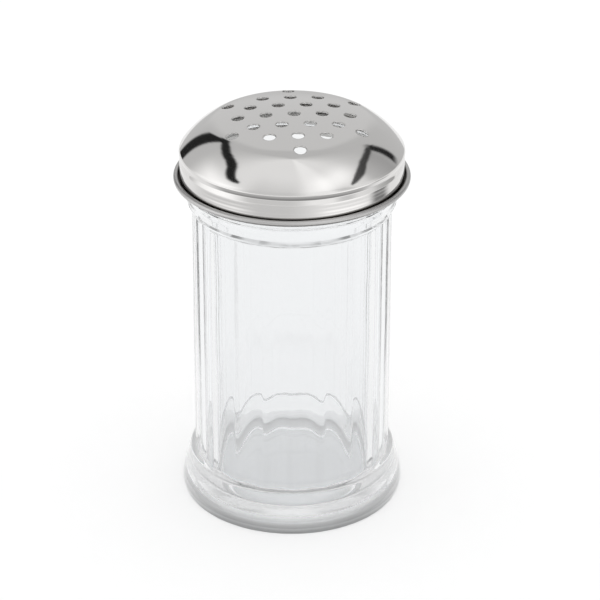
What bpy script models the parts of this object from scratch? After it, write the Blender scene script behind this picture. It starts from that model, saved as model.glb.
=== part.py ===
"""A glass spice shaker with a perforated steel dome that screws on, at its real size in metres.

The jar stands on the ground plane with its axis on +Z and a flute ridge near the front, which is -Y.
Heights on the jar are measured from the ground. Heights on the lid are measured from its seat, the
top of the glass lip, because the lid hangs on that height and turns about the jar's axis.
"""
import math

import bpy
import bmesh
from mathutils import Matrix

# How finely round shapes are divided
JAR_SIDES = 60
DOME_SIDES = 54
COLLAR_SIDES = 48
SEAL_SIDES = 36
CAP_STEPS = 3
HOLE_SIDES = 12
POINTS_PER_FLUTE = 5
ARC_STEP = math.radians(30)
SMOOTH_ANGLE = math.radians(32)
MERGE_DISTANCE = 0.00001
CUT_OVERRUN = 0.003

# Clearance that neighbouring pieces keep where they seat on each other
SEAT_GAP = 0.0003

# Lid: its overall radius, the steel sheet of its pressings, and the room for the thread
BEAD_OUTER_RADIUS = 0.0397
SHEET = 0.00045
THREAD_ROOM = 0.0017

# Jar: neck and lip, which fit inside the lid; heights under the lip are drops from it
RIM_HEIGHT = 0.1246
NECK_HEIGHT = 0.0103
NECK_WALL = 0.0030
LIP_FILLET = 0.0012
LIP_BORE_FILLET = 0.0010

# Jar: smooth ring under the neck
RING_STEP = 0.0011
RING_HEIGHT = 0.0039
RING_TOP_FILLET = 0.0008
RING_UNDER_FILLET = 0.0013
RING_ROOT_FILLET = 0.0006
SHOULDER_DROP = 0.0026
SHOULDER_FILLET = 0.0030

# Jar: fluted body, as wide as the neck at its top and set in from the foot at its bottom
FLUTES = 20
FLUTE_DEPTH = 0.0010
RING_COVE_COVER = 0.0005
FOOT_COVE_COVER = 0.0009
BODY_TOP_WALL = 0.0034
BODY_FOOT_WALL = 0.0038
BORE_SHOULDER_DROP = 0.0161
BORE_SHOULDER_RISE = 0.0025
BORE_FILLET = 0.0030
JAR_TURN = math.radians(1.0)

# Jar: foot
FOOT_RADIUS = 0.0388
FOOT_BAND_HEIGHT = 0.0026
FOOT_EDGE_SETBACK = 0.0003
FOOT_EDGE_HEIGHT = 0.0050
FOOT_EDGE_FILLET = 0.0009
FOOT_SHOULDER_SETBACK = 0.0030
FOOT_SHOULDER_HEIGHT = 0.0149
FOOT_SHOULDER_FILLET = 0.0013
FOOT_BODY_SETBACK = 0.0042
COVE_FALL = 0.0010
COVE_FILLET = 0.0020
STANDING_SETBACK = 0.0005
STANDING_FILLET = 0.0008
PUSHUP_SETBACK = 0.0098
PUSHUP_DEPTH = 0.0014
PUSHUP_STEP_RUN = 0.0016
FLOOR_HEIGHT = 0.0054
FLOOR_FILLET = 0.0021
FLOOR_DISH = 0.0008

# Sealing ring, seated on the glass lip
SEAL_THICKNESS = 0.0010
SEAL_SETBACK = 0.0004
SEAL_SIDE_PLAY = 0.0004
SEAL_CHAMFER = 0.0002

# Dome: heights from the seat, and arcs as shares of its radius
DOME_OVERHANG = 0.0006
DOME_EQUATOR_RISE = 0.0028
DOME_ARC_SHARES = (0.056, 0.833, 0.318)
DOME_ARC_ENDS = (math.radians(36.5), math.radians(59), math.radians(80))
GROOVE_RISE = 0.0011
GROOVE_FILLET = 0.0006
SKIRT_OVERHANG = 0.0005
SKIRT_TOP_DROP = 0.0004
SKIRT_TOP_FILLET = 0.0007

# Holes of the dome: a hexagon of rows and six more outside the middles of its sides
HOLE_RADIUS = 0.0020
HOLE_PITCH_SHARE = 0.2467
HOLE_RINGS = 2
OUTER_HOLES = 6
OUTER_HOLE_SHARE = 0.650
PATTERN_TURN = math.radians(4.6)
PATTERN_SHIFT_X = 0.0007
PATTERN_SHIFT_Y = -0.0004

# Collar: heights from the seat
LEDGE_SETBACK = 0.0038
COLLAR_CORNER_FILLET = 0.0007
BEAD_OVERHANG = 0.0021
BEAD_RADIUS = 0.00095
BEAD_END = math.radians(135)
BEAD_DROP = 0.00715

# Radii and heights that follow from those above
SKIRT_RADIUS = BEAD_OUTER_RADIUS - BEAD_OVERHANG
GROOVE_RADIUS = SKIRT_RADIUS - SKIRT_OVERHANG
DOME_RADIUS = GROOVE_RADIUS + DOME_OVERHANG
COLLAR_RADIUS = GROOVE_RADIUS - SHEET - SEAT_GAP
NECK_RADIUS = COLLAR_RADIUS - SHEET - THREAD_ROOM
NECK_BORE_RADIUS = NECK_RADIUS - NECK_WALL
RING_TOP = RIM_HEIGHT - NECK_HEIGHT
RING_BOTTOM = RING_TOP - RING_HEIGHT
BODY_FOOT_RADIUS = FOOT_RADIUS - FOOT_BODY_SETBACK


def rounded(corners):
    """Outline through (r, z, fillet) corners, each fillet an arc tangent to both sides."""
    points = []
    for index, (r, z, fillet) in enumerate(corners):
        if not fillet:
            points.append((r, z))
            continue
        before = corners[index - 1]
        after = corners[(index + 1) % len(corners)]
        to_before = math.atan2(before[1] - z, before[0] - r)
        to_after = math.atan2(after[1] - z, after[0] - r)
        opening = (to_after - to_before + math.pi) % math.tau - math.pi
        middle = to_before + opening / 2
        reach = fillet / math.sin(abs(opening) / 2)
        centre_r = r + reach * math.cos(middle)
        centre_z = z + reach * math.sin(middle)
        side = math.copysign(math.pi / 2, opening)
        turn = math.copysign(math.pi - abs(opening), -opening)
        steps = max(1, math.ceil(abs(turn) / ARC_STEP))
        for step in range(steps + 1):
            angle = to_before - side + turn * step / steps
            points.append((centre_r + fillet * math.cos(angle), centre_z + fillet * math.sin(angle)))
    return points


def arc(centre_r, centre_z, radius, start, end):
    """Points of an arc from one angle to another, both included."""
    steps = max(1, math.ceil(abs(end - start) / ARC_STEP))
    angles = [start + (end - start) * step / steps for step in range(steps + 1)]
    return [(centre_r + radius * math.cos(a), centre_z + radius * math.sin(a)) for a in angles]


def turned(name, outline, sides, collection, closed=False):
    """Object with a Screw modifier that turns an outline of (r, z) points about +Z."""
    edges = [(i, i + 1) for i in range(len(outline) - 1)]
    if closed:
        edges.append((len(outline) - 1, 0))
    mesh = bpy.data.meshes.new(name)
    mesh.from_pydata([(r, 0, z) for r, z in outline], edges, [])
    obj = bpy.data.objects.new(name, mesh)
    collection.objects.link(obj)
    screw = obj.modifiers.new("Turn", "SCREW")
    screw.steps = sides
    screw.render_steps = sides
    screw.use_merge_vertices = True
    screw.merge_threshold = MERGE_DISTANCE
    screw.use_smooth_shade = True
    return obj


def boolean(obj, operation, other):
    """Join or cut an object with another, using the exact solver."""
    modifier = obj.modifiers.new(operation.title(), "BOOLEAN")
    modifier.operation = operation
    modifier.solver = "EXACT"
    modifier.object = other


def hide_cutter(obj):
    """Show a cutter as a wire only."""
    obj.hide_render = True
    obj.display_type = "WIRE"


def finish(obj, material):
    """Apply the modifiers, shade the piece smooth with sharp edges kept, and give it its material."""
    graph = bpy.context.evaluated_depsgraph_get()
    mesh = bpy.data.meshes.new_from_object(obj.evaluated_get(graph))
    mesh.name = obj.name
    mesh.shade_smooth()
    mesh.set_sharp_from_angle(angle=SMOOTH_ANGLE)
    mesh.materials.clear()
    mesh.materials.append(material)
    obj.modifiers.clear()
    obj.data = mesh


def principled(name, colour, roughness, metallic, transmission=0.0, ior=1.5):
    """Material with a single Principled shader."""
    material = bpy.data.materials.new(name)
    material.use_nodes = True
    shader = material.node_tree.nodes["Principled BSDF"]
    shader.inputs["Base Color"].default_value = (*colour, 1)
    shader.inputs["Roughness"].default_value = roughness
    shader.inputs["Metallic"].default_value = metallic
    shader.inputs["Transmission Weight"].default_value = transmission
    shader.inputs["IOR"].default_value = ior
    return material


def flute_radius(azimuth, crest_radius):
    """Radius of the fluted body at an azimuth from a ridge: a concave arc between two ridges."""
    half = math.pi / FLUTES
    from_middle = azimuth % (2 * half) - half
    chord_radius = crest_radius * math.cos(half) / math.cos(from_middle)
    chord_sag = crest_radius * (1 - math.cos(half))
    across = math.tan(from_middle) / math.tan(half)
    return chord_radius - (FLUTE_DEPTH - chord_sag) * (1 - across ** 2)


def fluted_body(collection):
    """Tapered prism of the body, from inside the foot to inside the neck ring."""
    bottom = FOOT_SHOULDER_HEIGHT - COVE_FILLET
    top = RING_TOP - RING_HEIGHT / 2
    bm = bmesh.new()
    bmesh.ops.create_cone(
        bm,
        cap_ends=True,
        segments=FLUTES * POINTS_PER_FLUTE,
        radius1=BODY_FOOT_RADIUS,
        radius2=NECK_RADIUS,
        depth=top - bottom,
        matrix=Matrix.Translation((0, 0, (top + bottom) / 2)),
    )
    bm.verts.ensure_lookup_table()
    first = math.atan2(bm.verts[0].co.y, bm.verts[0].co.x)
    for vert in bm.verts:
        crest = math.hypot(vert.co.x, vert.co.y)
        radius = flute_radius(math.atan2(vert.co.y, vert.co.x) - first, crest)
        vert.co.x *= radius / crest
        vert.co.y *= radius / crest
    mesh = bpy.data.meshes.new("fluted_body")
    bm.to_mesh(mesh)
    bm.free()
    obj = bpy.data.objects.new("fluted_body", mesh)
    obj.rotation_euler.z = JAR_TURN - math.pi / 2 - first
    collection.objects.link(obj)
    hide_cutter(obj)
    return obj


def jar_bore(collection):
    """The hollow of the jar: neck, rounded shoulder, straight wall and dished floor."""
    flare = NECK_BORE_RADIUS + LIP_BORE_FILLET
    above = RIM_HEIGHT + CUT_OVERRUN
    outline = [(0, above), (flare, above)]
    outline += arc(flare, RIM_HEIGHT - LIP_BORE_FILLET, LIP_BORE_FILLET, math.pi / 2, math.pi)
    shoulder = RIM_HEIGHT - BORE_SHOULDER_DROP
    outline += rounded([
        outline[-1] + (0,),
        (NECK_BORE_RADIUS, shoulder + BORE_SHOULDER_RISE, BORE_FILLET),
        (NECK_RADIUS - BODY_TOP_WALL, shoulder, BORE_FILLET),
        (BODY_FOOT_RADIUS - BODY_FOOT_WALL, FLOOR_HEIGHT + FLOOR_DISH, FLOOR_FILLET),
        (0, FLOOR_HEIGHT, 0),
    ])[1:]
    obj = turned("jar_bore", outline, JAR_SIDES, collection)
    hide_cutter(obj)
    return obj


def glass_jar(collection, cutters, material):
    """Glass jar: a turned blank joined to the fluted body, then bored."""
    ring_radius = NECK_RADIUS + RING_STEP
    ring_cove = NECK_RADIUS - FLUTE_DEPTH - RING_COVE_COVER
    foot_cove = BODY_FOOT_RADIUS - FLUTE_DEPTH - FOOT_COVE_COVER
    pushup = FOOT_RADIUS - PUSHUP_SETBACK
    outline = rounded([
        (0, RIM_HEIGHT, 0),
        (NECK_RADIUS, RIM_HEIGHT, LIP_FILLET),
        (NECK_RADIUS, RING_TOP, RING_ROOT_FILLET),
        (ring_radius, RING_TOP, RING_TOP_FILLET),
        (ring_radius, RING_BOTTOM, RING_UNDER_FILLET),
        (ring_cove, RING_BOTTOM - SHOULDER_DROP, SHOULDER_FILLET),
        (foot_cove, FOOT_SHOULDER_HEIGHT + COVE_FALL, COVE_FILLET),
        (FOOT_RADIUS - FOOT_SHOULDER_SETBACK, FOOT_SHOULDER_HEIGHT, FOOT_SHOULDER_FILLET),
        (FOOT_RADIUS - FOOT_EDGE_SETBACK, FOOT_EDGE_HEIGHT, FOOT_EDGE_FILLET),
        (FOOT_RADIUS, FOOT_BAND_HEIGHT, FOOT_EDGE_FILLET),
        (FOOT_RADIUS - STANDING_SETBACK, 0, STANDING_FILLET),
        (pushup, 0, 0),
        (pushup - PUSHUP_STEP_RUN, PUSHUP_DEPTH, 0),
        (0, PUSHUP_DEPTH, 0),
    ])
    jar = turned("glass_jar", outline, JAR_SIDES, collection)
    boolean(jar, "UNION", fluted_body(cutters))
    boolean(jar, "DIFFERENCE", jar_bore(cutters))
    finish(jar, material)


def seal_top():
    """Height of the sealing ring's upper face above the seat."""
    return SEAT_GAP + SEAL_THICKNESS


def sealing_ring(collection, material, seat):
    """Flat washer on the glass lip, inside the collar's wall."""
    inner = NECK_BORE_RADIUS + SEAL_SETBACK
    outer = COLLAR_RADIUS - SHEET - SEAL_SIDE_PLAY
    outline = [
        (inner, seal_top()),
        (outer - SEAL_CHAMFER, seal_top()),
        (outer, seal_top() - SEAL_CHAMFER),
        (outer, SEAT_GAP + SEAL_CHAMFER),
        (outer - SEAL_CHAMFER, SEAT_GAP),
        (inner, SEAT_GAP),
    ]
    ring = turned("sealing_ring", outline, SEAL_SIDES, collection, closed=True)
    ring.parent = seat
    finish(ring, material)


def threaded_collar(collection, material, seat):
    """Inner pressing of the lid: ledge over the seal, wall around the neck, rolled bead below."""
    middle = SHEET / 2
    wall = COLLAR_RADIUS - middle
    ledge = seal_top() + SEAT_GAP + middle
    flange = middle - BEAD_DROP
    bead_r = BEAD_OUTER_RADIUS - BEAD_RADIUS
    bead_z = BEAD_RADIUS - BEAD_DROP
    outline = rounded([
        (NECK_BORE_RADIUS + LEDGE_SETBACK, ledge, 0),
        (wall, ledge, COLLAR_CORNER_FILLET),
        (wall, flange, COLLAR_CORNER_FILLET),
        (bead_r, flange, 0),
    ])
    outline += arc(bead_r, bead_z, BEAD_RADIUS - middle, -math.pi / 2, BEAD_END)[1:]
    collar = turned("threaded_collar", outline, COLLAR_SIDES, collection)
    collar.parent = seat
    solidify = collar.modifiers.new("Sheet", "SOLIDIFY")
    solidify.thickness = SHEET
    solidify.offset = 0
    finish(collar, material)


def dome_outline():
    """Outer outline of the dome: cap, knuckle, flank, shoulder, groove and skirt."""
    r = DOME_RADIUS
    z = DOME_EQUATOR_RISE
    start = 0
    rising = [(r, z)]
    for share, end in zip(DOME_ARC_SHARES, DOME_ARC_ENDS):
        radius = DOME_RADIUS * share
        centre_r = r - radius * math.cos(start)
        centre_z = z - radius * math.sin(start)
        rising += arc(centre_r, centre_z, radius, start, end)[1:]
        r, z = rising[-1]
        start = end
    cap_radius = r / math.cos(start)
    for step in range(1, CAP_STEPS + 1):
        angle = start + (math.pi / 2 - start) * step / CAP_STEPS
        rising.append((cap_radius * math.cos(angle), z + cap_radius * (math.sin(angle) - math.sin(start))))
    rising[-1] = (0, rising[-1][1])
    skirt_bottom = SHEET + SEAT_GAP - BEAD_DROP
    falling = rounded([
        (DOME_RADIUS, DOME_EQUATOR_RISE, 0),
        (GROOVE_RADIUS, GROOVE_RISE, GROOVE_FILLET),
        (SKIRT_RADIUS, -SKIRT_TOP_DROP, SKIRT_TOP_FILLET),
        (SKIRT_RADIUS, skirt_bottom, 0),
    ])
    return rising[::-1] + falling[1:]


def dome_holes(collection, seat):
    """Cutter with a pin for each hole, all punched straight down a little off the lid's axis."""
    centres = []
    pitch = DOME_RADIUS * HOLE_PITCH_SHARE
    outer = DOME_RADIUS * OUTER_HOLE_SHARE
    for row in range(-HOLE_RINGS, HOLE_RINGS + 1):
        for column in range(-HOLE_RINGS, HOLE_RINGS + 1):
            if abs(row + column) <= HOLE_RINGS:
                centres.append((pitch * (column + row / 2), pitch * row * math.sqrt(3) / 2))
    for index in range(OUTER_HOLES):
        angle = math.tau * (index + 1 / 2) / OUTER_HOLES
        centres.append((outer * math.cos(angle), outer * math.sin(angle)))
    top = max(z for r, z in dome_outline()) + CUT_OVERRUN
    bm = bmesh.new()
    for x, y in centres:
        bmesh.ops.create_cone(
            bm,
            cap_ends=True,
            segments=HOLE_SIDES,
            radius1=HOLE_RADIUS,
            radius2=HOLE_RADIUS,
            depth=top,
            matrix=Matrix.Translation((x, y, top / 2)),
        )
    mesh = bpy.data.meshes.new("dome_holes")
    bm.to_mesh(mesh)
    bm.free()
    obj = bpy.data.objects.new("dome_holes", mesh)
    obj.rotation_euler.z = PATTERN_TURN
    obj.location = (PATTERN_SHIFT_X, PATTERN_SHIFT_Y, 0)
    obj.parent = seat
    collection.objects.link(obj)
    hide_cutter(obj)
    return obj


def perforated_dome(collection, cutters, material, seat):
    """Outer pressing of the lid: a domed shell with its hole pattern."""
    dome = turned("perforated_dome", dome_outline(), DOME_SIDES, collection)
    dome.parent = seat
    solidify = dome.modifiers.new("Sheet", "SOLIDIFY")
    solidify.thickness = SHEET
    solidify.offset = -1
    boolean(dome, "DIFFERENCE", dome_holes(cutters, seat))
    finish(dome, material)


def build():
    """Make the shaker: the jar on the ground and the lid's pieces on an empty at the glass lip."""
    for obj in list(bpy.data.objects):
        bpy.data.objects.remove(obj, do_unlink=True)
    pieces = bpy.data.collections.new("spice_shaker")
    cutters = bpy.data.collections.new("cutters")
    bpy.context.scene.collection.children.link(pieces)
    bpy.context.scene.collection.children.link(cutters)
    seat = bpy.data.objects.new("lid_seat", None)
    seat.location.z = RIM_HEIGHT
    pieces.objects.link(seat)
    glass = principled("clear_glass", (0.97, 0.98, 0.98), 0.02, 0, transmission=1, ior=1.52)
    steel = principled("polished_steel", (0.74, 0.73, 0.72), 0.16, 1)
    plain_steel = principled("plain_steel", (0.66, 0.65, 0.63), 0.3, 1)
    rubber = principled("clear_seal", (0.86, 0.87, 0.85), 0.45, 0)
    bpy.context.view_layer.update()
    glass_jar(pieces, cutters, glass)
    sealing_ring(pieces, rubber, seat)
    threaded_collar(pieces, plain_steel, seat)
    perforated_dome(pieces, cutters, steel, seat)


build()
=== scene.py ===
import math

import bpy
import numpy as np
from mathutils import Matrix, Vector
from mathutils.geometry import delaunay_2d_cdt


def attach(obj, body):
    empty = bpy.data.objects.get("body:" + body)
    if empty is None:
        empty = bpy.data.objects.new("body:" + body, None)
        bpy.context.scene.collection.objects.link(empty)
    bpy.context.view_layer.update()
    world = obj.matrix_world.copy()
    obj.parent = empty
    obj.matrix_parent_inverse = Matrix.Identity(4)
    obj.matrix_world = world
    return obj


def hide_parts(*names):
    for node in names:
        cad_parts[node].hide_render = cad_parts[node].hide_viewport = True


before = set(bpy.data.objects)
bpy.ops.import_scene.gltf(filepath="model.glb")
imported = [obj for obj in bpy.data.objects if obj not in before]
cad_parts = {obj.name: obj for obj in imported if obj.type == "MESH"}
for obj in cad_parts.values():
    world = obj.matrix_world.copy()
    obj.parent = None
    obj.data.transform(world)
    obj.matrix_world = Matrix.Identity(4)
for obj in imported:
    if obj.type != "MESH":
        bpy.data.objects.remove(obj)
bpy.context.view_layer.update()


# GLASS JAR
# One piece of clear soda-lime glass, pressed in a mould and fire polished: flared foot with a shallow
# push-up, 20 concave flutes that run out under a smooth ring, and a neck with a one-turn thread.

RIM_HEIGHT = 0.1246
RIM_OUTER_FILLET = 0.0012
RIM_INNER_FILLET = 0.0010
NECK_RADIUS = 0.0342
NECK_TOP = 0.1232
NECK_BOTTOM = 0.1149
NECK_ROW_SPACING = 0.00032
NECK_BORE = 0.0312
BODY_BORE = 0.0308
BORE_SHOULDER_TOP = 0.1110
BORE_SHOULDER_BOTTOM = 0.1085
BORE_FILLET = 0.0030
BORE_ROW_SPACING = 0.0050
WAVY_BOTTOM = 0.016
WAVY_TOP = 0.105
WAVE_DEPTH = 0.00004
BROAD_WAVES = 3
BROAD_LEAN = 90
BROAD_RISE = 70
BROAD_PHASE = 1
FINE_WAVES = 5
FINE_LEAN = 160
FINE_SHARE = 0.6
FLOOR_HEIGHT = 0.0054
FLOOR_DISH = 0.0008
FLOOR_FILLET = 0.0021
RING_RADIUS = 0.0353
RING_TOP = 0.1143
RING_BOTTOM = 0.1103
RING_SLOPE_RADIUS = 0.0342
RING_SLOPE_HEIGHT = 0.1078
RING_END = 0.1067
RING_ROOT_FILLET = 0.0006
RING_TOP_FILLET = 0.0008
RING_BOTTOM_FILLET = 0.0010
RING_SLOPE_FILLET = 0.0012
RING_END_FILLET = 0.0015
BODY_TOP_RADIUS = 0.0342
BODY_TOP_HEIGHT = 0.11235
BODY_FOOT_RADIUS = 0.0346
BODY_FOOT_HEIGHT = 0.0129
BODY_ROW_SPACING = 0.00040
PLAIN_ROW_STEP = 5
JAR_TURN = math.radians(1.0)
FLUTES = 20
FLUTE_DEPTH = 0.0010
RIDGE_SOFTNESS = 0.00060
COVE_SOFTNESS = 0.00020
COLUMNS_PER_FLUTE = 16
RIDGE_CROWDING = 0.38
THREAD_PITCH = 0.0042333
THREAD_HEIGHT = 0.00095
THREAD_HALF_WIDTH = 0.00115
THREAD_FULLNESS = 1.25
THREAD_TURNS = 1.12
THREAD_START = 0.1180
THREAD_PHASE = math.radians(156)
THREAD_FADE = 0.05
COVE_RADIUS = 0.0327
COVE_FALL = 0.0010
COVE_FILLET = 0.0020
COVE_SPAN = 0.0055
FOOT_SHOULDER_RADIUS = 0.0358
FOOT_SHOULDER_HEIGHT = 0.0149
FOOT_SHOULDER_FILLET = 0.0013
FOOT_EDGE_RADIUS = 0.0385
FOOT_EDGE_HEIGHT = 0.0050
FOOT_RADIUS = 0.0388
FOOT_BAND_HEIGHT = 0.0026
FOOT_FILLET = 0.0009
STANDING_OUTER = 0.0383
STANDING_INNER = 0.0290
STANDING_FILLET = 0.0008
PUSHUP_RADIUS = 0.0274
PUSHUP_HEIGHT = 0.0014
PUSHUP_FILLET = 0.0004
FILLET_STEPS = 8
SCUFF_TOP = 0.0022
SCUFF_FULL = 0.0004
GLASS_COLOUR = (0.955, 0.962, 0.968, 1)
GLASS_SHADOW = (0.95, 0.955, 0.955, 1)


def rounded(corners, steps):
    """Outline through (radius, height, fillet) corners. Each fillet is an arc tangent to both of its sides,
    centred on the bisector at fillet / sin(half the opening), and has the given number of steps."""
    points = []
    for index, (r, z, fillet) in enumerate(corners):
        here = np.array([[r, z]])
        if not fillet:
            points.append(here)
            continue
        before = np.array(corners[index - 1][:2])
        after = np.array(corners[(index + 1) % len(corners)][:2])
        back = math.atan2(before[1] - z, before[0] - r)
        ahead = math.atan2(after[1] - z, after[0] - r)
        opening = (ahead - back + math.pi) % math.tau - math.pi
        bisector = back + opening / 2
        reach = fillet / math.sin(abs(opening) / 2)
        centre = here + reach * np.array([[math.cos(bisector), math.sin(bisector)]])
        turn = math.copysign(math.pi - abs(opening), -opening)
        angle = back - math.copysign(math.pi / 2, opening) + turn * np.linspace(0, 1, steps + 1)
        points.append(centre + fillet * np.stack([np.cos(angle), np.sin(angle)], axis=1))
    return np.vstack(points)


def divided(points, spacing):
    """The same outline with each gap cut into ceil(gap / spacing) equal steps."""
    gaps = np.diff(points, axis=0)
    steps = np.maximum(1, np.ceil(np.hypot(gaps[:, 0], gaps[:, 1]) / spacing)).astype(int)
    start = np.repeat(np.arange(len(steps)), steps)
    first = np.repeat(np.cumsum(steps) - steps, steps)
    share = (np.arange(steps.sum()) - first) / steps[start]
    return np.vstack([points[start] + gaps[start] * share[:, None], points[-1:]])


def around_axis(radius, height, azimuth):
    """Grid of points (row, column): a row is a ring at its own height, a column lies at its own azimuth.
    x = radius cos azimuth, y = radius sin azimuth, z = height."""
    x = radius * np.cos(azimuth)
    y = radius * np.sin(azimuth)
    return np.stack(np.broadcast_arrays(x, y, height), axis=-1)


def grid_object(name, points, loop):
    """Mesh of a grid whose columns close around the axis. With loop, the last row joins the first as on a
    torus. Otherwise the first and last rows are poles: each is one vertex with a fan of triangles. Rows run
    counterclockwise round the solid's section, seen with the axis on the left, so faces point outwards."""
    rows, columns = points.shape[:2]
    index = np.arange(rows * columns).reshape(rows, columns)
    beside = np.roll(index, -1, axis=1)
    if loop:
        below, below_beside = np.roll(index, -1, axis=0), np.roll(beside, -1, axis=0)
        faces = np.stack([index, beside, below_beside, below], axis=-1).reshape(-1, 4).tolist()
        vertices = points.reshape(-1, 3)
    else:
        faces = np.stack([index[1:-2], beside[1:-2], beside[2:-1], index[2:-1]], axis=-1)
        faces = (faces.reshape(-1, 4) - columns + 1).tolist()
        last = (rows - 2) * columns + 1
        first_ring, first_beside = index[1] - columns + 1, beside[1] - columns + 1
        end_ring, end_beside = index[-2] - columns + 1, beside[-2] - columns + 1
        faces += np.stack([np.zeros_like(first_ring), first_beside, first_ring], axis=-1).tolist()
        faces += np.stack([np.full_like(end_ring, last), end_ring, end_beside], axis=-1).tolist()
        vertices = np.vstack([points[0, :1], points[1:-1].reshape(-1, 3), points[-1, :1]])
    mesh = bpy.data.meshes.new(name)
    mesh.from_pydata(vertices.tolist(), [], faces)
    mesh.shade_smooth()
    obj = bpy.data.objects.new(name, mesh)
    bpy.context.scene.collection.objects.link(obj)
    return obj


def flute_radius(azimuth, height):
    """Radius of the fluted body. Between two ridges the wall is an arc that sinks FLUTE_DEPTH below the
    ridges' circle, and each ridge is rounded by a soft minimum with a circle just inside its crest."""
    share = (height - BODY_FOOT_HEIGHT) / (BODY_TOP_HEIGHT - BODY_FOOT_HEIGHT)
    crest = BODY_FOOT_RADIUS + (BODY_TOP_RADIUS - BODY_FOOT_RADIUS) * share
    half = math.pi / FLUTES
    middle = (azimuth - JAR_TURN + math.pi / 2) % (2 * half) - half
    chord = crest * math.cos(half) / np.cos(middle)
    across = np.tan(middle) / math.tan(half)
    sag = FLUTE_DEPTH - crest * (1 - math.cos(half))
    wall = chord - sag * (1 - across ** 2)
    cap = crest - RIDGE_SOFTNESS / 2
    return (wall + cap - np.sqrt((wall - cap) ** 2 + RIDGE_SOFTNESS ** 2)) / 2


def thread_shape(along, height, start, half_width, turns, fade):
    """A thread's section and ends, both from 0 to 1, at a place along it in turns. The section is a cosine
    wave across the thread, whose middle climbs as start + pitch x turns. The ends grow and die over fade
    turns, as the square root of the distance."""
    across = np.clip(np.abs(height - start - THREAD_PITCH * along) / half_width, 0, 1)
    ends = np.clip(along / fade, 0, 1) * np.clip((turns - along) / fade, 0, 1)
    return (1 + np.cos(math.pi * across)) / 2, np.sqrt(ends)


def neck_thread(azimuth, height):
    """How far the thread stands out of the neck: a right-hand helix from THREAD_PHASE on, whose section is
    THREAD_FULLNESS times the cosine wave, cut flat at 1. The higher of its overlapping laps counts."""
    turns = ((azimuth - THREAD_PHASE) / math.tau) % 1
    ridge = np.zeros_like(azimuth * height)
    for lap in range(math.ceil(THREAD_TURNS)):
        section, ends = thread_shape(
            turns + lap, height, THREAD_START, THREAD_HALF_WIDTH, THREAD_TURNS, THREAD_FADE)
        ridge = np.maximum(ridge, THREAD_HEIGHT * np.minimum(1, THREAD_FULLNESS * section) * ends)
    return ridge


def bore_waves(azimuth, height):
    """Unevenness of the pressed bore: broad sine waves round it that lean one way and come and go with
    height, plus weaker and finer ones that lean the other way."""
    broad = np.sin(BROAD_WAVES * azimuth + BROAD_LEAN * height) * np.sin(BROAD_RISE * height + BROAD_PHASE)
    return broad + FINE_SHARE * np.sin(FINE_WAVES * azimuth - FINE_LEAN * height)


bore = rounded([
    (0, FLOOR_HEIGHT, 0),
    (BODY_BORE, FLOOR_HEIGHT + FLOOR_DISH, FLOOR_FILLET),
    (BODY_BORE, BORE_SHOULDER_BOTTOM, BORE_FILLET),
    (NECK_BORE, BORE_SHOULDER_TOP, BORE_FILLET),
    (NECK_BORE, RIM_HEIGHT, RIM_INNER_FILLET),
    (NECK_RADIUS, RIM_HEIGHT, RIM_OUTER_FILLET),
    (NECK_RADIUS, RING_TOP, 0),
], FILLET_STEPS)[:-1]
neck = divided(np.array([[NECK_RADIUS, NECK_TOP], [NECK_RADIUS, NECK_BOTTOM]]), NECK_ROW_SPACING)
body = rounded([
    (NECK_RADIUS, NECK_BOTTOM, 0),
    (NECK_RADIUS, RING_TOP, RING_ROOT_FILLET),
    (RING_RADIUS, RING_TOP, RING_TOP_FILLET),
    (RING_RADIUS, RING_BOTTOM, RING_BOTTOM_FILLET),
    (RING_SLOPE_RADIUS, RING_SLOPE_HEIGHT, RING_SLOPE_FILLET),
    (COVE_RADIUS, RING_END, RING_END_FILLET),
    (COVE_RADIUS, FOOT_SHOULDER_HEIGHT + COVE_FALL, COVE_FILLET),
    (FOOT_SHOULDER_RADIUS, FOOT_SHOULDER_HEIGHT, FOOT_SHOULDER_FILLET),
    (FOOT_EDGE_RADIUS, FOOT_EDGE_HEIGHT, FOOT_FILLET),
    (FOOT_RADIUS, FOOT_BAND_HEIGHT, FOOT_FILLET),
    (STANDING_OUTER, 0, STANDING_FILLET),
    (STANDING_INNER, 0, PUSHUP_FILLET),
    (PUSHUP_RADIUS, PUSHUP_HEIGHT, PUSHUP_FILLET),
    (0, PUSHUP_HEIGHT, 0),
], FILLET_STEPS)[1:]

# Every row is kept where the flutes run out and in the fillets, and one in PLAIN_ROW_STEP elsewhere
fine = divided(body, BODY_ROW_SPACING)
kept = (fine[:, 1] > FOOT_SHOULDER_HEIGHT) & (fine[:, 1] < FOOT_SHOULDER_HEIGHT + COVE_SPAN)
kept |= (fine[:, 1] > RING_END - COVE_SPAN / 2) & (fine[:, 1] < RING_BOTTOM)
kept |= np.isin(fine.round(7), body.round(7)).all(axis=1)
kept |= np.arange(len(fine)) % PLAIN_ROW_STEP == 0
body = fine[kept]
jar_outline = np.vstack([divided(bore, BORE_ROW_SPACING), neck, body])

# Columns crowd together at the ridges: an offset s from the nearest ridge, in flutes, becomes
# s(1 - c + 4cs^2), where c is RIDGE_CROWDING
share = np.arange(FLUTES * COLUMNS_PER_FLUTE) / COLUMNS_PER_FLUTE
offset = (share + 0.5) % 1 - 0.5
crowded = offset * (1 - RIDGE_CROWDING + 4 * RIDGE_CROWDING * offset ** 2)
azimuth = JAR_TURN + math.tau / FLUTES * (share - offset + crowded)

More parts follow.
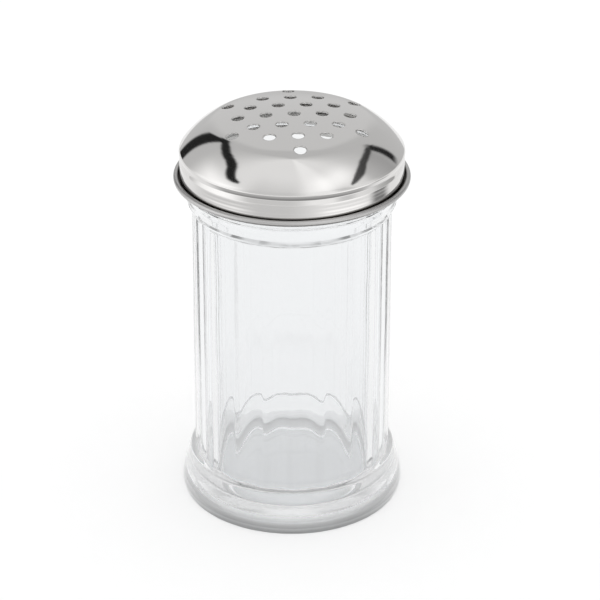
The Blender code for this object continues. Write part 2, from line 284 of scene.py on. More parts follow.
# The outer wall takes the larger of the turned outline and the flutes, with a soft edge between them
radius, height = jar_outline[:, :1], jar_outline[:, 1:]
outside = np.arange(len(jar_outline))[:, None] >= len(jar_outline) - len(body) - len(neck)
fluted = outside & (height < BODY_TOP_HEIGHT) & (height > BODY_FOOT_HEIGHT)
flute = flute_radius(azimuth, height)
joined = (radius + flute + np.sqrt((radius - flute) ** 2 + COVE_SOFTNESS ** 2)) / 2
radius = np.where(fluted, joined, radius)
radius = radius + np.where(outside & (height > NECK_BOTTOM), neck_thread(azimuth, height), 0)
wavy = ~outside & (height > WAVY_BOTTOM) & (height < WAVY_TOP)
radius = radius + np.where(wavy, WAVE_DEPTH * bore_waves(azimuth, height), 0)
jar = grid_object("jar_glass", around_axis(radius, height, azimuth)[::-1], loop=False)


def feed(tree, node, inputs):
    """Feeds a node's inputs, each given by socket name or number: an output of another node is linked to the
    socket, and a plain value is set on it."""
    for socket, source in inputs.items():
        if isinstance(source, bpy.types.NodeSocket):
            tree.links.new(source, node.inputs[socket])
        else:
            node.inputs[socket].default_value = source


def add_node(tree, kind, inputs, operation=None):
    """A new node with its inputs fed and, where it is a math node, what it works out."""
    node = tree.nodes.new(kind)
    if operation:
        node.operation = operation
    feed(tree, node, inputs)
    return node


def ramp(tree, value, start, end, low=0, high=1):
    """Low where the value is at start, high where it is at end, even between them and level past them."""
    inputs = {"Value": value, "From Min": start, "From Max": end, "To Min": low, "To Max": high}
    return add_node(tree, "ShaderNodeMapRange", inputs).outputs["Result"]


def grain(tree, vector, scale, detail):
    """Noise from 0 to 1 at a vector: scale is its lumps to a metre, detail its number of finer layers."""
    inputs = {"Vector": vector, "Scale": scale, "Detail": detail}
    return add_node(tree, "ShaderNodeTexNoise", inputs).outputs["Fac"]


glass = bpy.data.materials.new("clear_pressed_glass")
glass.use_nodes = True
tree = glass.node_tree
place = add_node(tree, "ShaderNodeTexCoord", {}).outputs["Object"]
ripple = add_node(tree, "ShaderNodeBump", {
    "Height": grain(tree, place, scale=70, detail=2),
    "Strength": 0.12,
    "Distance": 0.0006,
})
above_table = add_node(tree, "ShaderNodeSeparateXYZ", {"Vector": place}).outputs["Z"]
worn = add_node(tree, "ShaderNodeMath", {
    0: ramp(tree, above_table, SCUFF_TOP, SCUFF_FULL, high=0.28),
    1: grain(tree, place, scale=420, detail=6),
}, "MULTIPLY")
shader = tree.nodes["Principled BSDF"]
feed(tree, shader, {
    "Base Color": GLASS_COLOUR,
    "IOR": 1.52,
    "Transmission Weight": 1,
    "Roughness": worn.outputs["Value"],
    "Normal": ripple.outputs["Normal"],
})
light_through = add_node(tree, "ShaderNodeBsdfTransparent", {"Color": GLASS_SHADOW})
blend = add_node(tree, "ShaderNodeMixShader", {
    "Fac": add_node(tree, "ShaderNodeLightPath", {}).outputs["Is Shadow Ray"],
    1: shader.outputs["BSDF"],
    2: light_through.outputs["BSDF"],
})
feed(tree, tree.nodes["Material Output"], {"Surface": blend.outputs["Shader"]})
jar.data.materials.append(glass)
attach(jar, "jar")
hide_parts("glass_jar")


# SEALING WASHER
# A soft translucent washer, punched from sheet, that lies on the glass lip inside the collar. It rises
# with the lid and is squeezed between the lip and the collar's ledge.

SEAT_GAP = 0.0003
WASHER_SETBACK = 0.0004
WASHER_INNER = NECK_BORE + WASHER_SETBACK
WASHER_OUTER = 0.0355
WASHER_THICKNESS = 0.0010
WASHER_BOTTOM = RIM_HEIGHT + SEAT_GAP
WASHER_TOP = WASHER_BOTTOM + WASHER_THICKNESS
WASHER_FILLET = 0.00018
WASHER_FILLET_STEPS = 4
WASHER_ROW_SPACING = 0.0007
WASHER_COLUMNS = 144
WASHER_COLOUR = (0.97, 0.97, 0.96, 1)

washer_outline = divided(rounded([
    (WASHER_INNER, WASHER_BOTTOM, WASHER_FILLET),
    (WASHER_OUTER, WASHER_BOTTOM, WASHER_FILLET),
    (WASHER_OUTER, WASHER_TOP, WASHER_FILLET),
    (WASHER_INNER, WASHER_TOP, WASHER_FILLET),
], WASHER_FILLET_STEPS), WASHER_ROW_SPACING)
azimuth = np.linspace(0, math.tau, WASHER_COLUMNS, endpoint=False)
washer_points = around_axis(washer_outline[:, :1], washer_outline[:, 1:], azimuth)
washer = grid_object("lip_washer", washer_points, loop=True)

soft = bpy.data.materials.new("translucent_washer")
soft.use_nodes = True
tree = soft.node_tree
place = add_node(tree, "ShaderNodeTexCoord", {}).outputs["Object"]
rough_skin = add_node(tree, "ShaderNodeBump", {
    "Height": grain(tree, place, scale=900, detail=2),
    "Strength": 0.3,
    "Distance": 0.0001,
})
feed(tree, tree.nodes["Principled BSDF"], {
    "Base Color": WASHER_COLOUR,
    "Roughness": 0.30,
    "IOR": 1.42,
    "Transmission Weight": 0.20,
    "Normal": rough_skin.outputs["Normal"],
})
washer.data.materials.append(soft)
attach(washer, "seal")
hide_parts("sealing_ring")


# THREADED COLLAR
# The lid's inner pressing of satin stainless sheet: a narrow ledge over the washer, a wall with the thread
# rolled into it, and a bead rolled outwards under the skirt. Painted shade darkens the crevice above the
# bead.

SHEET = 0.00045
SKIRT_BOTTOM = RIM_HEIGHT - 0.0064
COLLAR_WALL = 0.036125
COLLAR_LEDGE = WASHER_TOP + SEAT_GAP + SHEET / 2
COLLAR_FLANGE = SKIRT_BOTTOM - SEAT_GAP - SHEET / 2
COLLAR_FILLET = 0.0007
COLLAR_FILLET_STEPS = 6
COLLAR_ROW_SPACING = 0.00032
COLLAR_COLUMNS = 240
LEDGE_INNER = 0.0350
BEAD_CENTRE = 0.038742
BEAD_RADIUS = 0.000725
BEAD_HEIGHT = COLLAR_FLANGE + BEAD_RADIUS
BEAD_ROLL = (math.radians(-90), math.radians(135))
BEAD_POINTS = 16
SHEET_END_POINTS = 5
ROLLED_START = 0.1191
ROLLED_TURNS = 0.92
ROLLED_DEPTH = 0.00085
ROLLED_HALF_WIDTH = 0.0010
ROLLED_FADE = 0.06
ROLLED_MARGIN = 0.0004
CREVICE_OUTER = 0.03855
CREVICE_FADE = 0.0004
BEAD_TONE_REACH = (0.0364, 0.0382)
LEDGE_TONE_HEIGHT = (0.1250, 0.1260)
WALL_STEEL = (0.56, 0.55, 0.53, 1)
BEAD_STEEL = (0.53, 0.525, 0.52, 1)
# Colour of the painted shade in the crevice above the bead
PAINTED_SHADE_COLOUR = (0.05, 0.045, 0.04, 1)


def sheet_outline(line, thickness):
    """Closed outline of a sheet whose middle follows a line: the line moved half the thickness to its left,
    a half circle round its end, the line moved half the thickness to its right, and one round its start."""
    along = np.gradient(line, axis=0)
    along *= thickness / 2 / np.hypot(along[:, 0], along[:, 1])[:, None]
    left = np.stack([-along[:, 1], along[:, 0]], axis=1)
    turn = np.linspace(0, math.pi, SHEET_END_POINTS)[1:-1, None]
    end = line[-1] + left[-1] * np.cos(turn) + along[-1] * np.sin(turn)
    start = line[0] - left[0] * np.cos(turn) - along[0] * np.sin(turn)
    return np.vstack([line + left, end, (line - left)[::-1], start])[::-1]


roll = np.linspace(*BEAD_ROLL, BEAD_POINTS)
bead = np.stack([BEAD_CENTRE + BEAD_RADIUS * np.cos(roll), BEAD_HEIGHT + BEAD_RADIUS * np.sin(roll)], axis=1)
collar_line = rounded([
    (LEDGE_INNER, COLLAR_LEDGE, 0),
    (COLLAR_WALL, COLLAR_LEDGE, COLLAR_FILLET),
    (COLLAR_WALL, COLLAR_FLANGE, COLLAR_FILLET),
    (BEAD_CENTRE, COLLAR_FLANGE, 0),
], COLLAR_FILLET_STEPS)[:-1]
collar_outline = sheet_outline(divided(np.vstack([collar_line, bead]), COLLAR_ROW_SPACING), SHEET)
azimuth = np.linspace(0, math.tau, COLLAR_COLUMNS, endpoint=False)
radius, height = collar_outline[:, :1], collar_outline[:, 1:]
on_wall = np.abs(radius - COLLAR_WALL) < SHEET
on_wall &= (height > COLLAR_FLANGE + ROLLED_MARGIN) & (height < COLLAR_LEDGE - ROLLED_MARGIN)
section, ends = thread_shape(
    azimuth / math.tau, height, ROLLED_START, ROLLED_HALF_WIDTH, ROLLED_TURNS, ROLLED_FADE)
radius = radius - np.where(on_wall, ROLLED_DEPTH * section * ends, 0)
collar = grid_object("collar_pressing", around_axis(radius, height, azimuth), loop=True)

# The painted shade fills the crevice from the wall out to CREVICE_OUTER, above the flange, and fades at both
# edges
from_wall = np.clip((radius - COLLAR_WALL) / CREVICE_FADE, 0, 1)
to_edge = np.clip((CREVICE_OUTER - radius) / CREVICE_FADE, 0, 1)
level = collar.data.attributes.new("painted_crevice_shade", "FLOAT", "POINT")
level.data.foreach_set("value", (from_wall * to_edge * (height > COLLAR_FLANGE)).ravel())


def axis_distance(tree, place):
    """Distance from the jar's axis: the length of the place vector with its height set to 0."""
    level = add_node(tree, "ShaderNodeVectorMath", {0: place, 1: (1, 1, 0)}, "MULTIPLY")
    return add_node(tree, "ShaderNodeVectorMath", {0: level.outputs["Vector"]}, "LENGTH").outputs["Value"]


def mixed_colour(tree, share, first, second):
    """The first colour where the share is 0, the second where it is 1, and an even mix between."""
    mix = tree.nodes.new("ShaderNodeMix")
    mix.data_type = "RGBA"
    feed(tree, mix, {"Factor": share, "A": first, "B": second})
    return mix.outputs["Result"]


satin = bpy.data.materials.new("satin_stainless")
satin.use_nodes = True
tree = satin.node_tree
place = add_node(tree, "ShaderNodeTexCoord", {}).outputs["Object"]
above_table = add_node(tree, "ShaderNodeSeparateXYZ", {"Vector": place}).outputs["Z"]
bead_or_ledge = add_node(tree, "ShaderNodeMath", {
    0: ramp(tree, axis_distance(tree, place), *BEAD_TONE_REACH),
    1: ramp(tree, above_table, *LEDGE_TONE_HEIGHT),
}, "MAXIMUM")
# The crevice above the bead is coloured dark here: painted shade
shade_in_crevice = add_node(tree, "ShaderNodeAttribute", {})
shade_in_crevice.attribute_name = "painted_crevice_shade"
steel = mixed_colour(tree, bead_or_ledge.outputs["Value"], WALL_STEEL, BEAD_STEEL)
feed(tree, tree.nodes["Principled BSDF"], {
    "Metallic": 1,
    "Base Color": mixed_colour(tree, shade_in_crevice.outputs["Fac"], steel, PAINTED_SHADE_COLOUR),
    "Roughness": ramp(tree, grain(tree, place, scale=160, detail=4), 0, 1, low=0.30, high=0.46),
})
collar.data.materials.append(satin)
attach(collar, "lid")
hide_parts("threaded_collar")


# PERFORATED DOME
# The lid's outer pressing of polished stainless sheet: a low crown with 25 punched holes, a rounded
# shoulder, a rolled groove that grips the collar, and a short skirt with faint marks of the spinning tool.

DOME_RADIUS = 0.0377
DOME_EQUATOR = RIM_HEIGHT + 0.00276
# Arcs of the shoulder, the flank and the crown's edge: radii as shares of the dome's radius, and end angles
DOME_ARC_SHARES = (0.056, 0.833, 0.318)
DOME_ARC_ENDS = (math.radians(36.5), math.radians(59), math.radians(80))
DOME_ARC_POINTS = 160
DOME_COLUMNS = 300
CROWN_EDGE = 0.0300
FLANK_STEP = 12
GROOVE_RADIUS = 0.0371
GROOVE_HEIGHT = RIM_HEIGHT + 0.0011
GROOVE_FILLET = 0.0006
SKIRT_RADIUS = 0.0376
SKIRT_SHOULDER = RIM_HEIGHT - 0.0004
SKIRT_FILLET = 0.0007
SKIRT_FILLET_STEPS = 6
SKIRT_ROW_SPACING = 0.00032
SPUN_TOP = RIM_HEIGHT - 0.0010
SPUN_LEAN = 0.00004
SPIN_LINES = 4
SPIN_DEPTH = 0.000006
SKIRT_LIP_POINTS = 6
HOLE_RADIUS = 0.0020
HOLE_PITCH = 0.0093
HOLE_RINGS = 2
HOLE_COLUMNS = 44
OUTER_HOLES = 6
OUTER_HOLE_DISTANCE = 0.0245
PATTERN_OFFSET = (0.0007, -0.0004)
PATTERN_TURN = math.radians(4.6)
# Lip of a hole, from the outer face to the inner face: radius added to the hole and share of the sheet
HOLE_LIP = (
    (0.00022, 0), (0.00013, 0.03), (0.00006, 0.10), (0.00002, 0.22),
    (0, 0.4), (0, 0.9), (0.00003, 1), (0.00022, 1),
)
LIP_RADIUS = HOLE_RADIUS + HOLE_LIP[0][0]
HALO_WIDTHS = (0.00022, 0.00052)
HALO_CLEARANCE = 0.00085
NET_ROW_SPACING = 0.0006
NET_POINT_SPACING = 0.00065
NET_MARGIN = 0.0004
NET_ROW_MINIMUM = 6
NET_OF_TRIANGLES = 0
NET_TOLERANCE = 1e-9
DOME_STEEL = (0.70, 0.69, 0.68, 1)
# Lighter steel for the inner face: painted light inside the lid
PAINTED_LIGHT_INNER_STEEL = (0.88, 0.87, 0.86, 1)
INNER_DULLNESS = 0.25


def dome_arcs():
    """Radius, height and normal angle along the dome's outer face, from the equator to the apex. Each arc
    starts where the last one ends, with the same tangent, and the crown's own arc is centred on the axis."""
    r, z, start = DOME_RADIUS, DOME_EQUATOR, 0.0
    parts = []
    for share, end in zip(DOME_ARC_SHARES + (None,), DOME_ARC_ENDS + (math.pi / 2,)):
        arc_radius = DOME_RADIUS * share if share else r / math.cos(start)
        angle = np.linspace(start, end, DOME_ARC_POINTS)
        line_r = r + arc_radius * (np.cos(angle) - math.cos(start))
        line_z = z + arc_radius * (np.sin(angle) - math.sin(start))
        parts.append(np.stack([line_r, line_z, angle], axis=1))
        r, z, start = line_r[-1], line_z[-1], end
    return np.vstack(parts)


outer_face = dome_arcs()
outer_normal = np.stack([np.cos(outer_face[:, 2]), np.sin(outer_face[:, 2])], axis=1)
inner_face = outer_face[:, :2] - SHEET * outer_normal


def outer_height(r):
    """Height of the dome's outer face at radius r, read between the points of its arcs."""
    return np.interp(r, outer_face[::-1, 0], outer_face[::-1, 1])


def inner_height(r):
    """Height of the dome's inner face at radius r, one sheet below the outer face along its normal."""
    return np.interp(r, inner_face[::-1, 0], inner_face[::-1, 1])


def circle(count, phase=0.0):
    """Points of a circle of radius 1, evenly spaced. Phase is the first point's place in steps."""
    angle = math.tau * (np.arange(count) + phase) / count
    return np.stack([np.cos(angle), np.sin(angle)], axis=1)


def strip(upper, lower):
    """Quads between rings of vertex numbers, upper to lower, whose columns close round the rings."""
    quads = np.stack([lower, np.roll(lower, -1, axis=-1), np.roll(upper, -1, axis=-1), upper], axis=-1)
    return quads.reshape(-1, 4).tolist()


def skirt_relief(down):
    """How far the skirt's face lies inside a cylinder, at a share of the way down it: a slight lean, most at
    a third of the way, plus SPIN_LINES shallow cosine grooves that fade out at both ends."""
    lean = SPUN_LEAN * 4 * down * (1 - down) ** 2
    return lean + SPIN_DEPTH * (1 - np.cos(math.tau * SPIN_LINES * down)) * np.sin(math.pi * down)


# The holes stand in a hexagon of rows, one pitch apart, with six more near the edge
lattice = np.arange(-HOLE_RINGS, HOLE_RINGS + 1)
column, line = np.meshgrid(lattice, lattice)
inside = np.abs(column + line) <= HOLE_RINGS
hexagon = HOLE_PITCH * np.stack([column + line / 2, line * math.sqrt(3) / 2], axis=-1)[inside]
holes = np.vstack([hexagon, OUTER_HOLE_DISTANCE * circle(OUTER_HOLES, 0.5)])
cosine, sine = math.cos(PATTERN_TURN), math.sin(PATTERN_TURN)
holes = holes @ np.array([[cosine, sine], [-sine, cosine]]) + PATTERN_OFFSET

# The crown's plan is a Delaunay net between its edge circle and the rims of the holes, with rings of points
# close round each hole and even rows of points over the rest
rim_circle = circle(HOLE_COLUMNS)
spare = [np.zeros((1, 2))]
for row, row_radius in enumerate(np.arange(NET_ROW_SPACING, CROWN_EDGE - NET_MARGIN, NET_ROW_SPACING), 1):
    points_in_row = max(NET_ROW_MINIMUM, int(math.tau * row_radius / NET_POINT_SPACING))
    spare.append(row_radius * circle(points_in_row, 0.5 * (row % 2)))
spare = np.vstack(spare)
nearest = np.min(np.linalg.norm(spare[:, None] - holes[None], axis=2), axis=1)
halo_radii = LIP_RADIUS + np.array(HALO_WIDTHS)[:, None, None]
flat = np.vstack([
    CROWN_EDGE * circle(DOME_COLUMNS),
    (holes[:, None] + LIP_RADIUS * rim_circle).reshape(-1, 2),
    (holes[:, None, None] + halo_radii * rim_circle).reshape(-1, 2),
    spare[nearest > LIP_RADIUS + HALO_CLEARANCE],
])
edge_numbers = np.arange(DOME_COLUMNS)[None]
rim_numbers = DOME_COLUMNS + np.arange(len(holes) * HOLE_COLUMNS).reshape(len(holes), HOLE_COLUMNS)
borders = [
    np.stack([numbers, np.roll(numbers, -1, axis=1)], axis=-1).reshape(-1, 2)
    for numbers in (edge_numbers, rim_numbers)
]
net = delaunay_2d_cdt(
    list(map(Vector, flat.tolist())), np.vstack(borders).tolist(), [], NET_OF_TRIANGLES, NET_TOLERANCE)
flat = np.array(list(map(tuple, net[0])))
triangles = np.array(net[2])
hole_of = np.full(len(flat), -1)
hole_of[rim_numbers] = np.arange(len(holes))[:, None]
owner = hole_of[triangles]
plug = (owner[:, 0] >= 0) & (owner == owner[:, :1]).all(axis=1)
triangles = triangles[~plug]

distance = np.hypot(flat[:, 0], flat[:, 1])
count = len(flat)
vertices = [np.column_stack([flat, outer_height(distance)]), np.column_stack([flat, inner_height(distance)])]
faces = triangles.tolist() + (triangles[:, ::-1] + count).tolist()
total = 2 * count

# The lips of the holes: rings between the two faces, straight down through the sheet
previous = rim_numbers
for extra, depth in HOLE_LIP[1:-1]:
    ring = holes[:, None] + (HOLE_RADIUS + extra) * rim_circle
    reach = np.hypot(ring[..., 0], ring[..., 1])
    level = outer_height(reach) * (1 - depth) + inner_height(reach) * depth
    vertices.append(np.dstack([ring, level]).reshape(-1, 3))
    current = total + np.arange(rim_numbers.size).reshape(rim_numbers.shape)
    faces += strip(previous, current)
    previous = current
    total += current.size
faces += strip(previous, rim_numbers + count)

# Flank, shoulder, groove and skirt: rings around the axis, outside and then back inside
rising = outer_face[outer_face[:, 0] > CROWN_EDGE, :2][::-FLANK_STEP]
falling = divided(rounded([
    (DOME_RADIUS, DOME_EQUATOR, 0),
    (GROOVE_RADIUS, GROOVE_HEIGHT, GROOVE_FILLET),
    (SKIRT_RADIUS, SKIRT_SHOULDER, SKIRT_FILLET),
    (SKIRT_RADIUS, SKIRT_BOTTOM, 0),
], SKIRT_FILLET_STEPS)[1:], SKIRT_ROW_SPACING)
falling[:, 0] -= skirt_relief(np.clip((SPUN_TOP - falling[:, 1]) / (SPUN_TOP - SKIRT_BOTTOM), 0, 1))
edge_point = [[CROWN_EDGE, outer_height(CROWN_EDGE)]]
outside_line = np.vstack([edge_point, rising, [[DOME_RADIUS, DOME_EQUATOR]], falling])
along = np.gradient(outside_line, axis=0)
along /= np.hypot(along[:, 0], along[:, 1])[:, None]
inside_line = outside_line + SHEET * np.stack([along[:, 1], -along[:, 0]], axis=1)
lip_angle = np.linspace(0, math.pi, SKIRT_LIP_POINTS)[1:-1]
skirt_lip = np.stack([
    SKIRT_RADIUS - SHEET / 2 + SHEET / 2 * np.cos(lip_angle),
    SKIRT_BOTTOM - SHEET / 4 * np.sin(lip_angle),
], axis=1)
side = np.vstack([outside_line[1:], skirt_lip, inside_line[1:][::-1]])
side_azimuth = np.linspace(0, math.tau, DOME_COLUMNS, endpoint=False)
vertices.append(around_axis(side[:, :1], side[:, 1:], side_azimuth).reshape(-1, 3))
rows = total + np.arange(len(side) * DOME_COLUMNS).reshape(-1, DOME_COLUMNS)
rows = np.vstack([edge_numbers, rows, edge_numbers + count])
faces += strip(rows[:-1], rows[1:])
underside = np.zeros(total + len(side) * DOME_COLUMNS)
underside[count:2 * count] = 1
underside[rows[-len(inside_line), 0]:] = 1

mesh = bpy.data.meshes.new("dome_pressing")
mesh.from_pydata(np.vstack(vertices).tolist(), [], faces)
mesh.shade_smooth()
mesh.attributes.new("underside", "FLOAT", "POINT").data.foreach_set("value", underside)

# The crown's outer face takes its normals from the arcs, so that reflections run smoothly over the net
normals = np.empty((len(mesh.vertices), 3))
mesh.vertex_normals.foreach_get("vector", normals.ravel())
tilt = np.interp(distance, outer_face[::-1, 0], outer_face[::-1, 2])
outwards = flat / np.maximum(distance, NET_TOLERANCE)[:, None]
normals[:count] = np.column_stack([outwards * np.cos(tilt)[:, None], np.sin(tilt)])
mesh.normals_split_custom_set_from_vertices(normals.tolist())
dome = bpy.data.objects.new("dome_pressing", mesh)
bpy.context.scene.collection.objects.link(dome)

polished = bpy.data.materials.new("polished_stainless")
polished.use_nodes = True
tree = polished.node_tree
place = add_node(tree, "ShaderNodeTexCoord", {}).outputs["Object"]
above_table = add_node(tree, "ShaderNodeSeparateXYZ", {"Vector": place}).outputs["Z"]
turned = add_node(tree, "ShaderNodeCombineXYZ", {"X": axis_distance(tree, place), "Y": above_table})
buffing = add_node(tree, "ShaderNodeBump", {
    "Height": grain(tree, turned.outputs["Vector"], scale=1500, detail=3),
    "Strength": 0.10,
    "Distance": 0.00003,
})
pits = add_node(tree, "ShaderNodeBump", {
    "Height": grain(tree, place, scale=2600, detail=2),
    "Strength": 0.06,
    "Distance": 0.00002,
    "Normal": buffing.outputs["Normal"],
})
inner = add_node(tree, "ShaderNodeAttribute", {})
inner.attribute_name = "underside"
dullness = add_node(tree, "ShaderNodeMath", {
    0: inner.outputs["Fac"],
    1: INNER_DULLNESS,
    2: ramp(tree, grain(tree, place, scale=45, detail=5), 0, 1, low=0.03, high=0.11),
}, "MULTIPLY_ADD")
# The inner face takes the lighter steel, painted light inside the lid, and is rougher
feed(tree, tree.nodes["Principled BSDF"], {
    "Metallic": 1,
    "Base Color": mixed_colour(tree, inner.outputs["Fac"], DOME_STEEL, PAINTED_LIGHT_INNER_STEEL),
    "Roughness": dullness.outputs["Value"],
    "Normal": pits.outputs["Normal"],
})
dome.data.materials.append(polished)
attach(dome, "lid")
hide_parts("perforated_dome")


# STAGE
# A large sheet of white paper under plain soft light. Mirrors and glass also see a cloth tent with bright
# and dark panels, and the dim room behind the paper. The camera stands where the photograph was taken.

PAPER_HALF = 3.0
PAPER_LIFT = 0.00005
PAPER_COLOUR = (0.8, 0.8, 0.8, 1)
PAPER_GLOW = 0.36
WORLD_LEVELS = (0.85, 1.0)
SHADE_START = (0.024, 0.034)
SHADE_END = (0.048, 0.040)
SHADE_PLACES = (-0.025, 0.0)
SHADE_DEPTHS = (-0.48, -0.18)


def sees_background(tree):
    """1 for camera, glossy and transmission rays and 0 for the rest: the largest of the three."""
    rays = add_node(tree, "ShaderNodeLightPath", {}).outputs
    first = add_node(tree, "ShaderNodeMath", {0: rays["Is Camera Ray"], 1: rays["Is Glossy Ray"]}, "MAXIMUM")
    pair = {0: first.outputs["Value"], 1: rays["Is Transmission Ray"]}
    return add_node(tree, "ShaderNodeMath", pair, "MAXIMUM").outputs["Value"]


world = bpy.data.worlds.new("studio")
world.use_nodes = True
tree = world.node_tree
feed(tree, tree.nodes["Background"], {
    "Color": (1, 1, 1, 1),
    "Strength": ramp(tree, sees_background(tree), 0, 1, *WORLD_LEVELS),
})
bpy.context.scene.world = world

# The paper shows a soft shade under the foot to rays that come through the glass, deepest at the front. It
# lies PAPER_LIFT above the table, so that the foot's glass meets it without an air gap.
mesh = bpy.data.meshes.new("floor")
corners = PAPER_HALF * np.array([[-1, -1, 0], [1, -1, 0], [1, 1, 0], [-1, 1, 0]])
mesh.from_pydata(corners.tolist(), [], [(0, 1, 2, 3)])
floor = bpy.data.objects.new("floor", mesh)
floor.location.z = PAPER_LIFT
bpy.context.scene.collection.objects.link(floor)
paper = bpy.data.materials.new("paper_floor")
paper.use_nodes = True
tree = paper.node_tree
tree.nodes.remove(tree.nodes["Principled BSDF"])
place = add_node(tree, "ShaderNodeTexCoord", {}).outputs["Object"]
reach = axis_distance(tree, place)
rearwards = add_node(tree, "ShaderNodeSeparateXYZ", {"Vector": place}).outputs["Y"]
under = add_node(tree, "ShaderNodeMath", {
    0: ramp(tree, reach, *SHADE_START),
    1: ramp(tree, reach, *SHADE_END),
}, "MULTIPLY")
through = add_node(tree, "ShaderNodeMath", {
    0: under.outputs["Value"],
    1: add_node(tree, "ShaderNodeLightPath", {}).outputs["Is Transmission Ray"],
}, "MULTIPLY")
shade = add_node(tree, "ShaderNodeMath", {
    0: through.outputs["Value"],
    1: ramp(tree, rearwards, *SHADE_PLACES, *SHADE_DEPTHS),
    2: ramp(tree, sees_background(tree), 0, 1, high=PAPER_GLOW),
}, "MULTIPLY_ADD")
diffuse = add_node(tree, "ShaderNodeBsdfDiffuse", {"Color": PAPER_COLOUR})
glow = add_node(tree, "ShaderNodeEmission", {"Strength": shade.outputs["Value"]})
lit_paper = add_node(tree, "ShaderNodeAddShader", {0: diffuse.outputs["BSDF"], 1: glow.outputs["Emission"]})
feed(tree, tree.nodes["Material Output"], {"Surface": lit_paper.outputs["Shader"]})
floor.data.materials.append(paper)

# The tent and the table under it. Azimuths are in degrees from the front, positive to the right, elevations
# in degrees above the tent's centre and reaches in metres from the axis. A panel is a change of brightness
# with a band of azimuths and a band of elevations or reaches, each as low, high and width of its soft edge.
TENT_RADIUS = 0.9
TENT_CENTRE = 0.12
TENT_AZIMUTHS = np.linspace(-180, 180, 301)
TENT_ELEVATIONS = np.concatenate([np.linspace(-6, 60, 67), np.linspace(62, 90, 15)])
TENT_TONE = 0.64
TENT_DARKEST = 0.02
ANY_ELEVATION = (-999, 999, 1)
TENT_PANELS = (
    (0.36, (-100, 95, 60), ANY_ELEVATION),
    (-0.22, (-48, 8, 26), (-90, 52, 30)),
    (0.42, (-108, -56, 30), (-30, 36, 16)),
    (0.14, (14, 46, 18), ANY_ELEVATION),
    (-0.22, (44, 62, 12), (0, 40, 10)),
    (0.36, (30, 82, 34), (44, 58, 20)),
    (-0.20, (88, 124, 14), (-30, 40, 8)),
    (0.10, (158, 999, 20), (8, 60, 10)),
    (0.10, (-999, -158, 20), (8, 60, 10)),
)
# Dark arches, as azimuth, elevation and half width along them, and their posts, as depth and two bands
LEFT_ARCH = (
    (-149, 41, 4.5), (-134, 44, 4.5), (-118, 47, 4.5), (-104, 50, 4.5), (-94, 50, 5.5), (-86, 47, 7),
    (-79, 44, 6), (-72, 42.5, 3.5), (-64, 43, 1.5),
)
LEFT_ARCH_DEPTH = 1
RIGHT_ARCH = ((68, 38, 1.5), (80, 40, 4), (90, 41, 5), (104, 42.5, 4), (116, 40.5, 3.5), (128, 37, 3))
RIGHT_ARCH_DEPTH = 0.9
ARCH_STEEPNESS = 2.6
ARCH_END_SOFTNESS = 3
ARCH_POSTS = ((1, (-146.5, -134.5, 2), (-3, 45, 3)), (0.97, (124, 131, 2), (12, 39, 8)))
TENT_SEEN_TONE = 0.97
ROOM_BEARING = (143, 999, 24)
ROOM_GAP = (173, 999, 10)
ROOM_GAP_DEPTH = 0.70
ROOM_ELEVATIONS = (20, 56, 14)
ROOM_WALL_DEPTH = 0.40
CARD_LIFT = 0.0004
CARD_INNER = 0.044
TABLE_AZIMUTHS = np.linspace(180, -180, 361)
TABLE_REACHES = np.concatenate([np.linspace(CARD_INNER, 0.45, 140), np.linspace(0.47, TENT_RADIUS, 12)])
# The dark card in front of the jar, outside the picture: its depth at some reaches
CARD_REACHES = (0.06, 0.10, 0.15, 0.235, 0.26)
CARD_DEPTHS = (0.85, 0.80, 0.45, 0.30, 0)
CARD_BEARING = (-88, 88, 30)
TABLE_PANELS = (
    (-0.24, (-100, 12, 40), (0.245, 0.34, 0.06)),
    (0.45, (-92, -44, 30), (0.29, 0.60, 0.05)),
    (0.40, (30, 78, 24), (0.29, 0.60, 0.05)),
    (-0.75, (84, 106, 14), (0.26, 0.42, 0.06)),
)
PAPER_TONE = 0.97
ROOM_TONE = 0.16
# The paper's rear edge: its reach at two bearings from the front, and past it the room
PAPER_BEARINGS = (150, 166)
PAPER_REACHES = (0.234, 0.38)
PAPER_EDGE_SOFTNESS = 0.03
ROOM_REACH = (0, 0.62, 0.2)
PAST_TABLE = 2


def band(value, low, high, soft):
    """1 between low and high and 0 outside them, with a smooth edge that is soft wide at both ends."""
    rise = np.clip((value - low) / soft + 0.5, 0, 1)
    fall = np.clip((high - value) / soft + 0.5, 0, 1)
    return (rise * fall) ** 2 * (3 - 2 * rise * fall)


def arch(azimuth, elevation, path, depth):
    """A dark arch along a path of (azimuth, elevation, half width) points. Its depth falls evenly to nothing
    at the half width, from ARCH_STEEPNESS times the depth at its middle, and is cut flat at the depth."""
    path = np.array(path)
    middle = np.interp(azimuth, path[:, 0], path[:, 1])
    width = np.interp(azimuth, path[:, 0], path[:, 2])
    ends = band(azimuth, path[0, 0], path[-1, 0], ARCH_END_SOFTNESS)
    return depth * ends * np.clip(ARCH_STEEPNESS * (1 - np.abs(elevation - middle) / width), 0, 1)


def room_share(azimuth):
    """How much of the dim room stands behind the paper: 1 at the two rear corners, less between them."""
    bearing = np.abs(azimuth)
    return band(bearing, *ROOM_BEARING) - ROOM_GAP_DEPTH * band(bearing, *ROOM_GAP)


def stage_shell(name, points, mirrored, seen_through):
    """A surface on a grid of points with two brightness values at each: the one that mirrors show and the one
    that is seen through glass. The camera doesn't see it, and it neither lights nor shades matt things."""
    rows, columns = mirrored.shape
    index = np.arange(rows * columns).reshape(rows, columns)
    quads = np.stack([index[:-1, :-1], index[:-1, 1:], index[1:, 1:], index[1:, :-1]], axis=-1)
    mesh = bpy.data.meshes.new(name)
    mesh.from_pydata(points.reshape(-1, 3).tolist(), [], quads.reshape(-1, 4).tolist())
    for label, values in (("glow", mirrored), ("through", seen_through)):
        level = mesh.attributes.new(label, "FLOAT", "POINT")
        level.data.foreach_set("value", values.ravel().astype(np.float32))
    shell = bpy.data.objects.new(name, mesh)
    bpy.context.scene.collection.objects.link(shell)
    shell.visible_camera = False
    shell.visible_diffuse = False
    shell.visible_shadow = False
    return shell


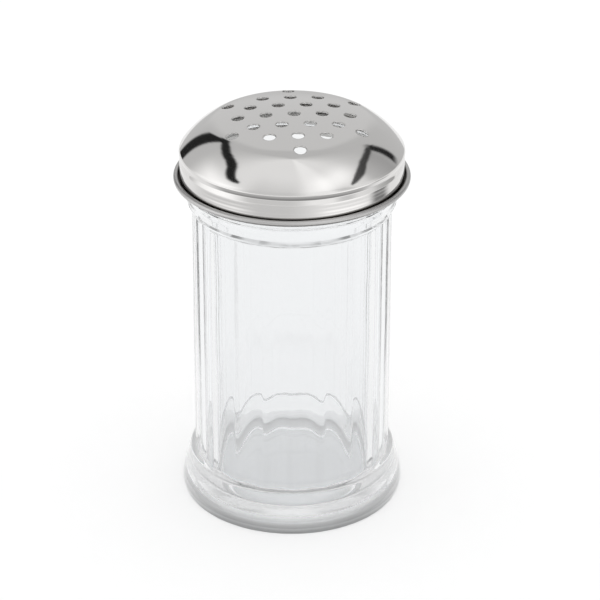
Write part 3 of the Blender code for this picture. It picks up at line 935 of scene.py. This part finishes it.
cloth = bpy.data.materials.new("tent_cloth")
cloth.use_nodes = True
tree = cloth.node_tree
tree.nodes.remove(tree.nodes["Principled BSDF"])
for_mirrors = add_node(tree, "ShaderNodeAttribute", {})
for_mirrors.attribute_name = "glow"
for_glass = add_node(tree, "ShaderNodeAttribute", {})
for_glass.attribute_name = "through"
choice = add_node(tree, "ShaderNodeMix", {
    "Factor": add_node(tree, "ShaderNodeLightPath", {}).outputs["Is Transmission Ray"],
    "A": for_mirrors.outputs["Fac"],
    "B": for_glass.outputs["Fac"],
})
shine = add_node(tree, "ShaderNodeEmission", {"Strength": choice.outputs["Result"]})
feed(tree, tree.nodes["Material Output"], {"Surface": shine.outputs["Emission"]})

a, e = np.meshgrid(TENT_AZIMUTHS, TENT_ELEVATIONS)
mirrored = np.full_like(a, TENT_TONE)
for change, bearing, rise in TENT_PANELS:
    mirrored += change * band(a, *bearing) * band(e, *rise)
dark = np.maximum(arch(a, e, LEFT_ARCH, LEFT_ARCH_DEPTH), arch(a, e, RIGHT_ARCH, RIGHT_ARCH_DEPTH))
for depth, bearing, rise in ARCH_POSTS:
    dark = np.maximum(dark, depth * band(a, *bearing) * band(e, *rise))
mirrored = np.maximum(mirrored * (1 - dark), TENT_DARKEST)
seen_through = TENT_SEEN_TONE - ROOM_WALL_DEPTH * room_share(a) * band(e, *ROOM_ELEVATIONS)
wall_reach = TENT_RADIUS * np.cos(np.radians(e))
wall_height = TENT_CENTRE + TENT_RADIUS * np.sin(np.radians(e))
tent_points = around_axis(wall_reach, wall_height, np.radians(a - 90))
tent = stage_shell("light_tent", tent_points, mirrored, seen_through)
tent.data.materials.append(cloth)

a, r = np.meshgrid(TABLE_AZIMUTHS, TABLE_REACHES)
mirrored = 1 - np.interp(r, CARD_REACHES, CARD_DEPTHS) * band(a, *CARD_BEARING)
for change, bearing, extent in TABLE_PANELS:
    mirrored += change * band(a, *bearing) * band(r, *extent)
paper_edge = np.interp(np.abs(a), PAPER_BEARINGS, PAPER_REACHES)
in_room = room_share(a) * band(r, paper_edge, PAST_TABLE, PAPER_EDGE_SOFTNESS) * band(r, *ROOM_REACH)
seen_through = PAPER_TONE - (PAPER_TONE - ROOM_TONE) * in_room
card_points = around_axis(r, np.full_like(r, CARD_LIFT), np.radians(a - 90))
card = stage_shell("table_card", card_points, mirrored, seen_through)
card.data.materials.append(cloth)

# The photograph's camera: focal length and principal point in its own pixels, and place in metres
PHOTO_WIDTH = 600
FOCAL_PIXELS = 2300
PRINCIPAL_X = 292
SENSOR_WIDTH = 36
CAMERA_PLACE = (0.0, -0.7014, 0.4360)
CAMERA_PITCH = math.radians(27.5)

camera_data = bpy.data.cameras.new("camera")
camera_data.sensor_width = SENSOR_WIDTH
camera_data.lens = SENSOR_WIDTH * FOCAL_PIXELS / PHOTO_WIDTH
camera_data.shift_x = (PHOTO_WIDTH / 2 - PRINCIPAL_X) / PHOTO_WIDTH
camera_data.clip_start = 0.01
camera = bpy.data.objects.new("camera", camera_data)
camera.location = CAMERA_PLACE
camera.rotation_euler = (math.pi / 2 - CAMERA_PITCH, 0, 0)
bpy.context.scene.collection.objects.link(camera)
bpy.context.scene.camera = camera
bpy.context.scene.view_settings.view_transform = "Standard"
bpy.context.scene.cycles.max_bounces = 32
bpy.context.scene.cycles.glossy_bounces = 16
bpy.context.scene.cycles.transmission_bounces = 32
